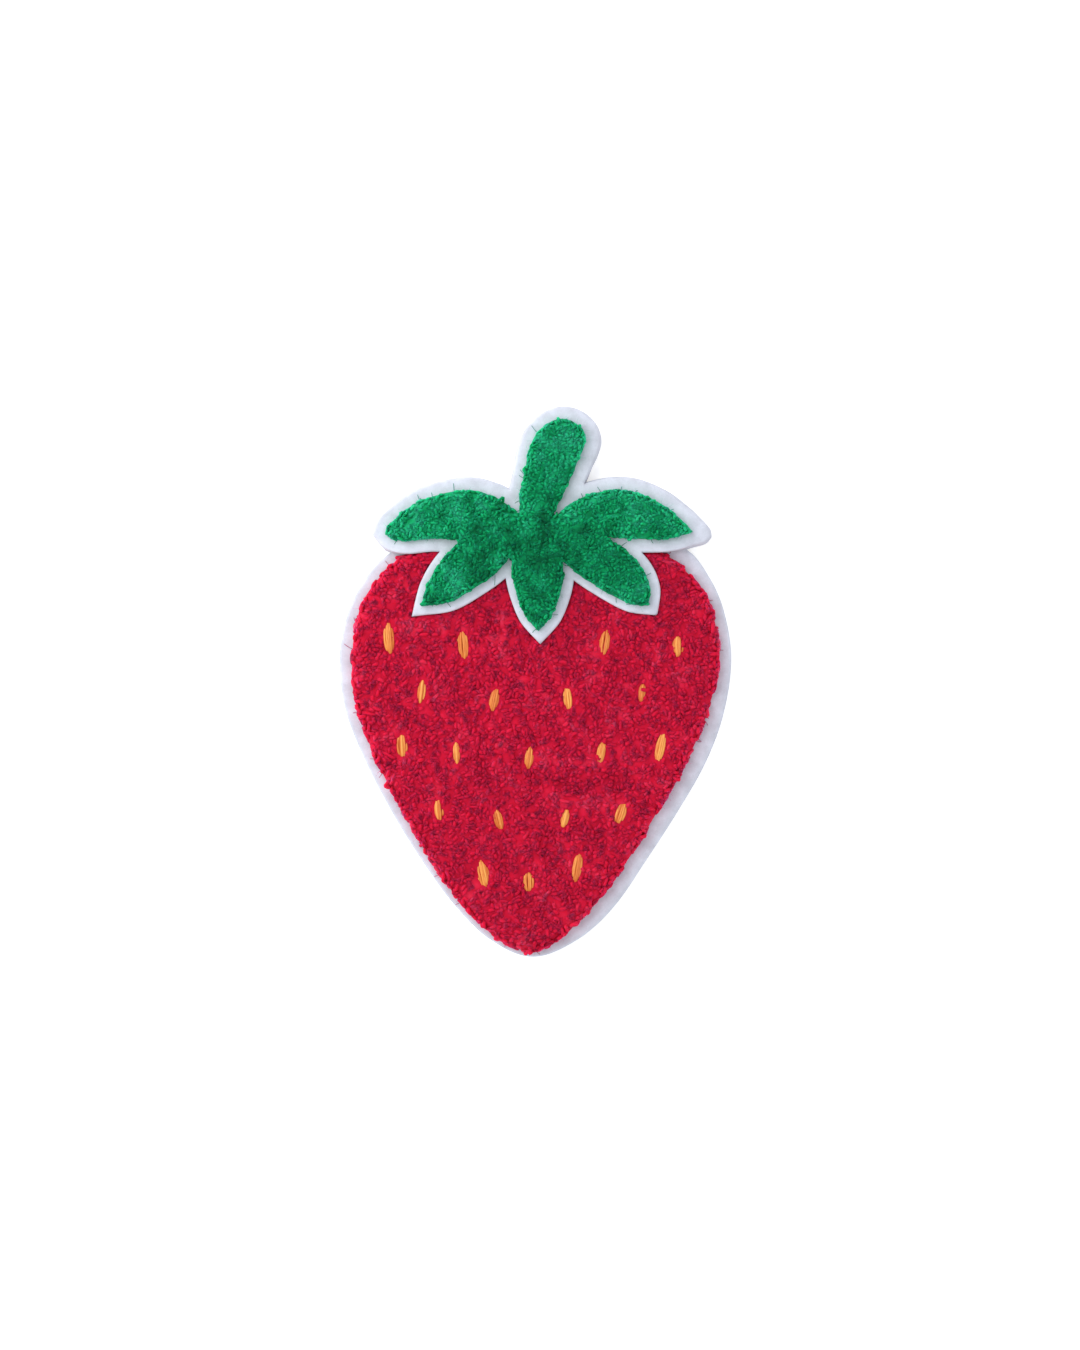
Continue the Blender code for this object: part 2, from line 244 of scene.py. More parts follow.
class SeedSettings(PropertyGroup):
    """The stitched seeds."""

    colour: FloatVectorProperty(
        name="Seed Thread", description="Colour of the seeds' thread", subtype="COLOR",
        min=0, max=1, default=linear("DF7A2F"),
    )
    thread_diameter: FloatProperty(
        name="Thread Diameter", description="Diameter of a seed's thread",
        unit="LENGTH", default=0.42 * MM,
    )
    threads: IntProperty(name="Threads", description="Threads side by side in a seed", default=7)


class StudioSettings(PropertyGroup):
    """The camera, floor and lights."""

    view_height: FloatProperty(
        name="View Height", description="Height of the view at the patch",
        unit="LENGTH", default=219.7 * MM,
    )
    floor_glow: FloatProperty(
        name="Floor Glow", description="Light that comes through the floor from below",
        default=0.35,
    )
    lens: FloatProperty(name="Lens", description="Focal length in millimetres", default=100)
    floor_colour: FloatVectorProperty(
        name="Floor", description="Colour of the floor", subtype="COLOR",
        min=0, max=1, default=linear("FAFAFA"),
    )


class StrawberrySettings(PropertyGroup):
    """All the settings of the patch."""

    yarn: PointerProperty(type=YarnSettings)
    felt: PointerProperty(type=FeltSettings)
    seeds: PointerProperty(type=SeedSettings)
    studio: PointerProperty(type=StudioSettings)


def settings():
    return bpy.context.scene.strawberry


# Outlines and surfaces, read from the CAD nodes.


def cad_mesh(node):
    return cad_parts[node].data


def rim(node):
    """The outline of a CAD node's underside, as points in order."""
    mesh = cad_mesh(node)
    ways = {}
    for face in mesh.polygons:
        if face.normal.z > -0.5:
            continue
        corners = [mesh.vertices[i].co for i in face.vertices]
        keys = [(round(co.x, 6), round(co.y, 6)) for co in corners]
        for start, end in zip(keys, keys[1:] + keys[:1]):
            if ways.get(end) and start in ways[end]:
                ways[end].remove(start)
            else:
                ways.setdefault(start, []).append(end)
    loops = []
    while any(ways.values()):
        start = next(key for key, ends in ways.items() if ends)
        loop, here = [], start
        while ways.get(here):
            loop.append(here)
            here = ways[here].pop()
        loops.append(loop)
    return np.array(max(loops, key=len))


def smooth_rim(node, step):
    """A node's outline with a point at every step, rounded except at its corners."""
    points = rim(node)
    before, after = np.roll(points, 1, axis=0), np.roll(points, -1, axis=0)
    back, ahead = points - before, after - points
    turn = np.arctan2(
        back[:, 0] * ahead[:, 1] - back[:, 1] * ahead[:, 0], (back * ahead).sum(1)
    )
    sharp = np.abs(turn) > CORNER_TURN
    line = []
    for i, start in enumerate(points):
        j = (i + 1) % len(points)
        end, chord = points[j], points[j] - start
        length = np.linalg.norm(chord)
        leave = chord if sharp[i] else scaled(end - before[i], length)
        arrive = chord if sharp[j] else scaled(after[j] - start, length)
        for t in np.arange(0, 1, 1 / max(1, round(length / step))):
            line.append(
                start * (2 * t**3 - 3 * t**2 + 1) + leave * (t**3 - 2 * t**2 + t)
                + end * (3 * t**2 - 2 * t**3) + arrive * (t**3 - t**2)
            )
    return np.array(line)


def scaled(vector, length):
    return vector * length / max(np.linalg.norm(vector), 1e-12)


def edge_of(points, line):
    """How far each point is inside a closed line, and the line's direction beside it."""
    start, along = line, np.roll(line, -1, axis=0) - line
    reach = points[:, None] - start[None]
    share = (reach * along).sum(2) / np.maximum((along**2).sum(1), 1e-16)
    away = np.linalg.norm(reach - np.clip(share, 0, 1)[..., None] * along, axis=2)
    nearest = away.argmin(1)
    end = start + along
    crosses = (start[:, 1] > points[:, None, 1]) != (end[:, 1] > points[:, None, 1])
    slope = along[:, 0] / np.where(along[:, 1] == 0, 1e-16, along[:, 1])
    left = points[:, None, 0] < start[:, 0] + (points[:, None, 1] - start[:, 1]) * slope
    inside = (crosses & left).sum(1) % 2 == 1
    distance = away[np.arange(len(points)), nearest]
    return np.where(inside, distance, -distance), along[nearest]


def inset(line, distance):
    """A closed line moved inwards, or outwards by a negative distance."""
    back = line - np.roll(line, 1, axis=0)
    ahead = np.roll(line, -1, axis=0) - line
    back /= np.linalg.norm(back, axis=1)[:, None]
    ahead /= np.linalg.norm(ahead, axis=1)[:, None]
    mean = back + ahead
    mean /= np.maximum(np.linalg.norm(mean, axis=1), 1e-6)[:, None]
    inward = np.stack([-mean[:, 1], mean[:, 0]], axis=1)
    turned = (line * np.roll(line[:, ::-1], -1, axis=0) * [1, -1]).sum() < 0
    return line + inward * distance * (-1 if turned else 1)


class Surface:
    """The top and the underside of a CAD node, as heights over a point."""

    def __init__(self, node):
        mesh = cad_mesh(node)
        spots = [vertex.co.copy() for vertex in mesh.vertices]
        self.tree = BVHTree.FromPolygons(spots, [face.vertices[:] for face in mesh.polygons])

    def heights(self, points, down=True):
        """The node's top at each point, or its underside if the rays go up."""
        way = Vector((0, 0, -1 if down else 1))
        found = []
        for x, y in points:
            hit = self.tree.ray_cast(Vector((x, y, RAY_START if down else -RAY_START)), way)[0]
            found.append(self.nearest(x, y, down) if hit is None else hit.z)
        return np.array(found)

    def nearest(self, x, y, down):
        """The height at the nearest part of the node's edge."""
        spot = self.tree.find_nearest(Vector((x, y, 0)))[0]
        inward = Vector((spot.x - x, spot.y - y, 0))
        start = Vector((spot.x, spot.y, RAY_START if down else -RAY_START))
        start += inward.normalized() * NUDGE
        hit = self.tree.ray_cast(start, Vector((0, 0, -1 if down else 1)))[0]
        return spot.z if hit is None else hit.z


# Meshes.


def piece(name, shape, look):
    """A shaded-smooth mesh object from points, faces and attributes."""
    points, faces, attributes = shape
    mesh = bpy.data.meshes.new(name)
    mesh.from_pydata(points, [], faces)
    for key, values in attributes.items():
        kind = "FLOAT_VECTOR" if values.ndim == 2 else "FLOAT"
        layer = mesh.attributes.new(key, kind, "POINT")
        layer.data.foreach_set("vector" if values.ndim == 2 else "value", values.ravel())
    mesh.materials.append(look)
    mesh.shade_smooth()
    made = bpy.data.objects.new(name, mesh)
    bpy.context.scene.collection.objects.link(made)
    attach(made, BODY)
    return made


def yarn_tubes(paths, radius, rng, sides=YARN_SIDES, tone=None, taper=None):
    """Closed tubes along many paths at once, as points, faces and attributes.

    The paths are an array of tube by step by xyz. The attribute "fibre" runs round and
    along each yarn in millimetres, and "tone" says how light each yarn is, from 0 to 1.
    """
    count, steps, _ = paths.shape
    ahead = np.gradient(paths, axis=1)
    ahead /= np.linalg.norm(ahead, axis=2, keepdims=True)
    chord = paths[:, -1] - paths[:, 0]
    across = np.stack([-chord[:, 1], chord[:, 0], np.zeros(count)], axis=1)
    across[:, 0] += 1e-7
    side = across[:, None] - ahead * (ahead * across[:, None]).sum(2, keepdims=True)
    side /= np.linalg.norm(side, axis=2, keepdims=True)
    lift = np.cross(ahead, side)
    moves = np.linalg.norm(np.diff(paths, axis=1), axis=2)
    run = np.concatenate([np.zeros((count, 1)), np.cumsum(moves, axis=1)], axis=1)
    angle = 2 * np.pi * np.arange(sides) / sides
    thick = np.broadcast_to(radius, (count, steps))[..., None]
    if taper is not None:
        thick = thick * taper[None, :, None]
    ring_x, ring_y = thick * np.cos(angle), thick * np.sin(angle)
    points = (
        paths[:, :, None] + side[:, :, None] * ring_x[..., None]
        + lift[:, :, None] * ring_y[..., None]
    )
    first = (np.arange(count) * steps * sides)[:, None, None]
    row = (np.arange(steps - 1) * sides)[None, :, None]
    column = np.arange(sides)[None, None]
    other = (column + 1) % sides
    corners = [first + row + column, first + row + other]
    corners += [first + row + sides + other, first + row + sides + column]
    quads = np.stack(corners, axis=-1).reshape(-1, 4)
    starts = (first[:, 0] + np.arange(sides)[::-1]).tolist()
    ends = (first[:, 0] + (steps - 1) * sides + np.arange(sides)).tolist()
    fibre = np.stack([ring_x, ring_y, np.broadcast_to(run[:, :, None], ring_x.shape)], axis=-1)
    fibre = fibre / MM + rng.uniform(-50, 50, (count, 1, 1, 3))
    tone = np.repeat(rng.random(count) if tone is None else tone, steps * sides)
    attributes = {"fibre": fibre.reshape(-1, 3), "tone": tone}
    return points.reshape(-1, 3), quads.tolist() + starts + ends, attributes


def joined(parts):
    """One set of points, faces and attributes from several."""
    points, faces, attributes = [], [], {"fibre": [], "tone": []}
    for spots, corners, values in parts:
        start = sum(len(p) for p in points)
        points.append(spots)
        faces += [[start + i for i in face] for face in corners]
        for key, column in attributes.items():
            column.append(values[key])
    return (
        np.concatenate(points), faces,
        {key: np.concatenate(column) for key, column in attributes.items()},
    )


def filled(line, rings, spacing):
    """Triangles that fill a closed line, with inset rings of points and an inner lattice."""
    points = [line]
    for distance in rings:
        ring = inset(line, distance)
        # Where the outline is narrow, a ring would cross itself, so those points are left out.
        points.append(ring[edge_of(ring, line)[0] > 0.8 * distance])
    depth = rings[-1] + 0.6 * spacing
    inner = scattered(line, spacing, depth, 0, np.random.default_rng(0))
    points = np.concatenate([*points, inner])
    edges = [(i, (i + 1) % len(line)) for i in range(len(line))]
    spots = [Vector(point) / MM for point in points]
    found, _, faces, *_ = delaunay_2d_cdt(spots, edges, [], 0, 1e-6)
    found = np.array([spot[:] for spot in found]) * MM
    middles = np.array([found[list(face)].mean(0) for face in faces])
    inside = edge_of(middles, line)[0] > 0
    return found, [list(face) for face, kept in zip(faces, inside) if kept]


def scattered(line, spacing, depth, jitter, rng):
    """Points on a jittered triangular lattice, at least a depth inside a closed line."""
    low, high = line.min(0), line.max(0)
    row_height = spacing * math.sqrt(3) / 2
    rows = np.arange(low[1], high[1] + row_height, row_height)
    columns = np.arange(low[0], high[0] + spacing, spacing)
    x, y = np.meshgrid(columns, rows)
    x[1::2] += spacing / 2
    points = np.stack([x.ravel(), y.ravel()], axis=1)
    points += rng.uniform(-jitter, jitter, points.shape) * spacing
    return points[edge_of(points, line)[0] > depth]


def slab(points, faces, bottom, top):
    """A closed solid between two heights over the same triangles."""
    count = len(points)
    spots = np.concatenate([np.column_stack([points, bottom]), np.column_stack([points, top])])
    ways = {(a, b) for face in faces for a, b in zip(face, face[1:] + face[:1])}
    turned = {(b, a) for a, b in ways}
    walls = [[a, b, b + count, a + count] for a, b in sorted(ways - turned)]
    corners = [face[::-1] for face in faces]
    corners += [[i + count for i in face] for face in faces] + walls
    return spots, corners, {}


def wavy(points, scale, shift=0.0):
    """Smooth noise from about -1 to 1 at each point, with bumps of about this size."""
    return np.array(
        [noise.noise(Vector((x / scale + shift, y / scale, shift))) for x, y in points]
    )


# Materials.


def add(tree, kind, inputs=None, **fields):
    """Adds one node with its fields, and fills its inputs with values or links."""
    made = tree.nodes.new(kind)
    for field, value in fields.items():
        setattr(made, field, value)
    for socket, value in (inputs or {}).items():
        if isinstance(value, bpy.types.NodeSocket):
            tree.links.new(value, made.inputs[socket])
        else:
            made.inputs[socket].default_value = value
    return made


def blank(name):
    """An empty material, with its tree and its Principled shader."""
    made = bpy.data.materials.new(name)
    made.use_nodes = True
    return made, made.node_tree, made.node_tree.nodes["Principled BSDF"]


def dressed(material, colour, bump, values):
    """Gives a material its colour, its bump and its shader's other values.

    The bump is a height, a strength and a depth.
    """
    made, tree, shader = material
    tree.links.new(colour, shader.inputs["Base Color"])
    if bump:
        height, strength, depth = bump
        normal = add(
            tree, "ShaderNodeBump", {"Height": height, "Strength": strength, "Distance": depth}
        )
        tree.links.new(normal.outputs["Normal"], shader.inputs["Normal"])
    for socket, value in values.items():
        shader.inputs[socket].default_value = value
    return made


def shades(tree, value, stops):
    """A colour ramp through (position, linear colour) stops."""
    ramp = add(tree, "ShaderNodeValToRGB", {"Fac": value})
    ramp.color_ramp.elements.remove(ramp.color_ramp.elements[0])
    for k, (position, colour) in enumerate(stops):
        stop = ramp.color_ramp.elements[0] if k == 0 else ramp.color_ramp.elements.new(position)
        stop.position = position
        stop.color = (*colour, 1)
    return ramp.outputs["Color"]


def times(colour, factor):
    return tuple(min(1, channel * factor) for channel in colour)


def chenille_yarn(name, dark, colour, light, scatter):
    """Two-ply acrylic yarn, soft and brushed.

    It is matt. Its plies wind round each other, with fine fibres that run along them, and
    light scatters between its raised fibres, which softens every shadow.
    """
    material = blank(name)
    tree = material[1]
    fibre = add(tree, "ShaderNodeAttribute", attribute_name="fibre")
    tone = add(tree, "ShaderNodeAttribute", attribute_name="tone")
    # Fibres of 0.03 mm show as streaks of 0.12 mm, each a few millimetres long.
    drawn = add(
        tree, "ShaderNodeMapping", {"Vector": fibre.outputs["Vector"], "Scale": (8, 8, 1.2)}
    )
    streaks = add(
        tree, "ShaderNodeTexNoise",
        {"Vector": drawn.outputs["Vector"], "Scale": 1.0, "Detail": 2.0},
    )
    # The light and dark tufts, the painted shade and the painted highlights come with the loops;
    # each fibre differs a little from them.
    shade = add(
        tree, "ShaderNodeMath",
        {0: streaks.outputs["Fac"], 1: 0.12, 2: tone.outputs["Fac"]}, operation="MULTIPLY_ADD",
    )
    # Two plies make one turn round each other in PLY_PITCH.
    parts = add(tree, "ShaderNodeSeparateXYZ", {"Vector": fibre.outputs["Vector"]})
    around = add(
        tree, "ShaderNodeMath", {0: parts.outputs["Y"], 1: parts.outputs["X"]},
        operation="ARCTAN2",
    )
    turn = add(
        tree, "ShaderNodeMath",
        {0: parts.outputs["Z"], 1: 2 * math.pi * MM / PLY_PITCH, 2: around.outputs[0]},
        operation="MULTIPLY_ADD",
    )
    twice = add(tree, "ShaderNodeMath", {0: turn.outputs[0], 1: 2.0}, operation="MULTIPLY")
    ply = add(tree, "ShaderNodeMath", {0: twice.outputs[0]}, operation="SINE")
    height = add(
        tree, "ShaderNodeMath",
        {0: ply.outputs[0], 1: 0.5, 2: streaks.outputs["Fac"]}, operation="MULTIPLY_ADD",
    )
    stops = [(0.08, dark), (0.58, colour), (1.0, light)]
    return dressed(
        material, shades(tree, shade.outputs[0], stops), (height.outputs[0], 0.14, 0.05 * MM),
        {
            "Roughness": 0.9, "Specular IOR Level": 0.08,
            "Sheen Weight": 0.05, "Sheen Roughness": 0.5, "Sheen Tint": (*light, 1),
            "Subsurface Weight": 0.85, "Subsurface Radius": scatter,
            "Subsurface Scale": 1.3 * MM,
        },
    )


def needled_felt(name, colour):
    """Needle-punched polyester felt.

    It is matt, of matted fibres that lie every way, with faint hollows where the needles
    went in.
    """
    material = blank(name)
    tree = material[1]
    place = add(tree, "ShaderNodeTexCoord")
    # Matted fibres, drawn as wisps of 0.35 mm.
    wisps = add(
        tree, "ShaderNodeTexNoise",
        {
            "Vector": place.outputs["Object"], "Scale": 1 / (0.35 * MM), "Detail": 4.0,
            "Roughness": 0.65, "Distortion": 1.6,
        },
    )
    clouds = add(
        tree, "ShaderNodeTexNoise",
        {"Vector": place.outputs["Object"], "Scale": 1 / (2.2 * MM), "Detail": 2.0},
    )
    shade = add(
        tree, "ShaderNodeMath",
        {0: wisps.outputs["Fac"], 1: 0.6, 2: clouds.outputs["Fac"]}, operation="MULTIPLY_ADD",
    )
    stops = [(0.55, times(colour, 0.86)), (0.85, colour), (1.0, times(colour, 1.08))]
    return dressed(
        material, shades(tree, shade.outputs[0], stops), (wisps.outputs["Fac"], 0.6, 0.1 * MM),
        {"Roughness": 0.95, "Specular IOR Level": 0.2, "Sheen Weight": 0.3},
    )


def stitching_thread(name, dark, colour, light):
    """Trilobal polyester embroidery thread, with a silky shine across its fibres."""
    material = blank(name)
    tree = material[1]
    fibre = add(tree, "ShaderNodeAttribute", attribute_name="fibre")
    tone = add(tree, "ShaderNodeAttribute", attribute_name="tone")
    # Filaments of 0.02 mm show as streaks of 0.07 mm, each about a millimetre long.
    drawn = add(
        tree, "ShaderNodeMapping", {"Vector": fibre.outputs["Vector"], "Scale": (14, 14, 1.0)}
    )
    streaks = add(
        tree, "ShaderNodeTexNoise",
        {"Vector": drawn.outputs["Vector"], "Scale": 1.0, "Detail": 2.0},
    )
    shade = add(
        tree, "ShaderNodeMath",
        {0: tone.outputs["Fac"], 1: 0.5, 2: streaks.outputs["Fac"]}, operation="MULTIPLY_ADD",
    )
    stops = [(0.45, dark), (0.7, colour), (0.95, light)]
    return dressed(
        material, shades(tree, shade.outputs[0], stops), (streaks.outputs["Fac"], 0.4, 0.05 * MM),
        {"Roughness": 0.45, "Anisotropic": 0.4},
    )


def hot_melt_film(name, colour):
    """Cast hot-melt adhesive film, milky, with the slight orange peel of its coating."""
    material = blank(name)
    tree, shader = material[1:]
    place = add(tree, "ShaderNodeTexCoord")
    peel = add(
        tree, "ShaderNodeTexNoise",
        {"Vector": place.outputs["Object"], "Scale": 1 / (0.9 * MM), "Detail": 2.0},
    )
    cloudy = add(
        tree, "ShaderNodeTexNoise",
        {"Vector": place.outputs["Object"], "Scale": 1 / (9 * MM), "Detail": 3.0},
    )
    gloss = add(
        tree, "ShaderNodeMapRange",
        {"Value": peel.outputs["Fac"], "To Min": 0.28, "To Max": 0.5},
    )
    tree.links.new(gloss.outputs["Result"], shader.inputs["Roughness"])
    stops = [(0.3, times(colour, 0.9)), (0.7, colour)]
    return dressed(
        material, shades(tree, cloudy.outputs["Fac"], stops),
        (peel.outputs["Fac"], 0.35, 0.05 * MM), {"IOR": 1.5},
    )


def non_woven(name, colour):
    """Wet-laid non-woven interlining: matt, papery, with long crossing fibres."""
    material = blank(name)
    tree = material[1]
    place = add(tree, "ShaderNodeTexCoord")
    fibres = add(
        tree, "ShaderNodeTexNoise",
        {
            "Vector": place.outputs["Object"], "Scale": 1 / (0.6 * MM), "Detail": 5.0,
            "Distortion": 2.5,
        },
    )
    stops = [(0.35, times(colour, 0.85)), (0.65, colour)]
    return dressed(
        material, shades(tree, fibres.outputs["Fac"], stops),
        (fibres.outputs["Fac"], 0.5, 0.08 * MM), {"Roughness": 0.9},
    )


def lit_acrylic(name, colour, glow):
    """A matt opal acrylic sheet with a faint tooth, lit evenly from below."""
    material = blank(name)
    tree = material[1]
    place = add(tree, "ShaderNodeTexCoord")
    tooth = add(
        tree, "ShaderNodeTexNoise",
        {"Vector": place.outputs["Object"], "Scale": 1 / (2 * MM), "Detail": 2.0},
    )
    stops = [(0.3, times(colour, 0.985)), (0.7, colour)]
    return dressed(
        material, shades(tree, tooth.outputs["Fac"], stops), None,
        {"Roughness": 1.0, "Emission Color": (1, 1, 1, 1), "Emission Strength": glow},
    )


# Pieces.


def sheet(
    name, node, look, edge_radius,
    uneven=0, reach_down=LAYER_REACH, step=SHEET_STEP, rib=0,
):
    """Makes a sheet that was cut flat and lies flat over a CAD node's outline.

    It has a rounded edge and an uneven face. Its underside can have soft ribs.
    """
    line = smooth_rim(node, OUTLINE_STEP)
    points, faces = filled(line, [edge_radius * 0.3, edge_radius], step)
    surface = Surface(node)
    bottom = surface.heights(points, down=False) - reach_down
    top = surface.heights(points) + LAYER_REACH
    depth = np.clip(edge_of(points, line)[0] / edge_radius, 0, 1)
    drop = edge_radius * (1 - np.sqrt(1 - (1 - depth) ** 2))
    top = top - drop + uneven * wavy(points, FELT_WAVE) * depth
    rows = (points[:, 0] + RIB_WANDER * wavy(points, 6 * RIB_SPACING)) / RIB_SPACING
    bottom += drop * 0.5 + rib * np.sin(np.pi * rows) ** 2 * depth
    made = piece(name, slab(points, faces, bottom, top), look)
    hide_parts(node)


def loop_places(line, spacing, radius, wander, open_edge, rng):
    """Where the loops of a pile stand, which way each lies, and how near the edge it is.

    A row of loops follows the outline, and the others fill what is inside it.
    """
    track = inset(line, radius)
    moves = np.linalg.norm(np.roll(track, -1, axis=0) - track, axis=1)
    run = np.concatenate([[0], np.cumsum(moves)])
    stops = np.arange(0, run[-1], spacing)
    stops += rng.uniform(-ROW_SHIFT, ROW_SHIFT, len(stops))
    closed = np.concatenate([track, track[:1]])
    row = np.stack([np.interp(stops % run[-1], run, closed[:, k]) for k in (0, 1)], axis=1)
    row += rng.uniform(-wander, wander, row.shape)
    inner = scattered(line, spacing, radius + 0.55 * spacing, JITTER, rng)
    spots = rng.permutation(np.concatenate([row, inner]))
    edge_way = edge_of(spots, line)[1]
    nearness = np.clip(1 - (distance_to(open_edge, spots) - radius) / EDGE_BAND, 0, 1)
    azimuth = beside(rng.uniform(0, np.pi, len(spots)), edge_way, ALONG_EDGE * nearness)
    return spots, azimuth, nearness


def distance_to(ends, points):
    """How far each point is from the nearest of a line's points."""
    return np.linalg.norm(points[:, None] - ends[None], axis=2).min(1)


def beside(azimuth, direction, closeness):
    """Turns azimuths towards a border's direction, the more the closer it is."""
    border = np.arctan2(direction[:, 1], direction[:, 0])
    off = (azimuth - border + np.pi / 2) % np.pi - np.pi / 2
    return border + off * (1 - closeness)


def loop_paths(spots, base, height, azimuth, span, nearness, rng):
    """The centrelines of loops of yarn that arch up from the ground and back into it."""
    count = len(spots)
    t = np.linspace(0, 1, LOOP_STEPS)
    arch = np.sin(np.pi * t) ** ARCH
    way = np.stack([np.cos(azimuth), np.sin(azimuth)], axis=1)
    square = np.stack([-way[:, 1], way[:, 0]], axis=1)
    free = 1 - UPRIGHT * nearness
    lean = rng.normal(0, LEAN, count) * height * free
    bow = rng.normal(0, BOW, count) * span * free
    slant = rng.normal(0, SLANT, count)
    along = span[:, None] * ((t - 0.5) + slant[:, None] * arch)
    aside = lean[:, None] * arch + bow[:, None] * np.sin(2 * np.pi * t)
    flat = spots[:, None] + way[:, None] * along[..., None] + square[:, None] * aside[..., None]
    rise = base[:, None] + height[:, None] * arch
    return np.concatenate([flat, rise[..., None]], axis=2)


def mottle_and_rim_highlight(points, depth):
    """How light the yarn is at each point: light and dark tufts at random, and a painted
    highlight along the pile's edge.
    """
    # Painted highlight, lightest at the pile's edge.
    rim_light = RIM_LIGHT * np.clip(1 - depth / PILE_EDGE_RADIUS, 0, 1)
    return TONE + rim_light + sum(share * wavy(points, *where) for share, *where in TUFTS)


def matted(line, top_of, bottom_of, tone_of, open_edge):
    """The matted ground of low yarn that closes a pile between its loops."""
    points, faces = filled(line, MAT_RINGS, MAT_STEP)
    depth = distance_to(open_edge, points)
    low = bottom_of(points)
    inner = np.clip(depth / PILE_EDGE_RADIUS, 0, 1)
    share = MAT_EDGE_HEIGHT + (MAT_HEIGHT - MAT_EDGE_HEIGHT) * inner
    ripple = sum(height * wavy(points, size) for height, size in MAT_RIPPLES)
    top = low + (top_of(points) - low) * share + ripple * (0.4 + 0.6 * inner)
    spots, corners, _ = slab(points, faces, low - LAYER_REACH, top)
    tone = np.tile(tone_of(points, depth), 2)
    return spots, corners, {"fibre": spots / MM, "tone": tone}


def loose_fibres(paths, radius, tone, rng):
    """Short curved fibres that stand out of the upper part of the loops of yarn.

    They stick out sideways more than upwards.
    """
    yarn = settings().yarn
    count = int(len(paths) * yarn.fuzz_per_loop)
    loop = rng.integers(0, len(paths), count)
    step = rng.integers(LOOP_STEPS // 4, LOOP_STEPS - LOOP_STEPS // 4, count)
    way = rng.normal(0, 1, (count, 3))
    way[:, 2] = np.abs(way[:, 2]) * 0.4
    way /= np.linalg.norm(way, axis=1)[:, None]
    bend = rng.normal(0, 0.6, (count, 3)) * [1, 1, 0.3]
    length = yarn.fuzz_length * rng.uniform(0.5, 1.3, count)
    t = np.linspace(0, 1, FIBRE_STEPS)[None, :, None]
    lines = (paths[loop, step] + way * radius * 0.7)[:, None]
    lines = lines + length[:, None, None] * (way[:, None] * t + bend[:, None] * t**2)
    taper = np.linspace(1, 0.5, FIBRE_STEPS)
    return yarn_tubes(lines, FIBRE_RADIUS, rng, FIBRE_SIDES, tone[loop], taper)


def yarn_tails(line, sheet_line, height_of, rng):
    """Stray ends of yarn that lie across a felt's margin, out from the edge of a pile.

    Each starts a little inside the pile. Those that would reach past the felt are left out.
    """
    track = inset(line, 0.2 * MM)
    moves = np.linalg.norm(np.roll(track, -1, axis=0) - track, axis=1)
    count = int(moves.sum() / TAIL_SPACING)
    chosen = rng.choice(len(track), count, replace=False)
    start = track[chosen]
    outward = track[chosen] - inset(line, MM)[chosen]
    outward /= np.linalg.norm(outward, axis=1)[:, None]
    way = outward + rng.normal(0, 0.45, outward.shape)
    way /= np.linalg.norm(way, axis=1)[:, None]
    length = rng.uniform(*TAIL_LENGTH, count) * MM
    t = np.linspace(0, 1, LOOP_STEPS)[None, :, None]
    bend = rng.normal(0, 0.18, outward.shape)
    flat = start[:, None] + length[:, None, None] * (way[:, None] * t + bend[:, None] * t**2)
    flat = flat[edge_of(flat[:, -1], sheet_line)[0] > TAIL_MARGIN]
    rise = height_of(flat.reshape(-1, 2)).reshape(flat.shape[:2]) + LAYER_REACH + TAIL_RADIUS
    paths = np.concatenate([flat, rise[..., None]], axis=2)
    return yarn_tubes(paths, TAIL_RADIUS, rng, FIBRE_SIDES, np.zeros(len(paths)))


class STRAWBERRY_OT_backing(Operator):
    """Makes the heat-seal film and the interlining on the back"""

    bl_idname = "strawberry.backing"
    bl_label = "Backing"

    def execute(self, context):
        felt = settings().felt
        sheet(
            "heat_seal_film_sheet", "heat_seal_film",
            hot_melt_film("hot_melt_film", tuple(felt.film_colour)),
            edge_radius=0.1 * MM, reach_down=0, step=FILM_STEP, rib=RIB_HEIGHT,
        )
        sheet(
            "interlining_sheet", "interlining",
            non_woven("non_woven_interlining", tuple(felt.interlining_colour)),
            edge_radius=0.12 * MM,
        )
        return {"FINISHED"}


class STRAWBERRY_OT_base_felt(Operator):
    """Makes the base felt that everything is stitched to"""

    bl_idname = "strawberry.base_felt"
    bl_label = "Base Felt"

    def execute(self, context):
        felt = settings().felt
        sheet(
            "base_felt_sheet", "base_felt", needled_felt("needled_felt", tuple(felt.colour)),
            felt.edge_radius, felt.unevenness,
        )
        return {"FINISHED"}


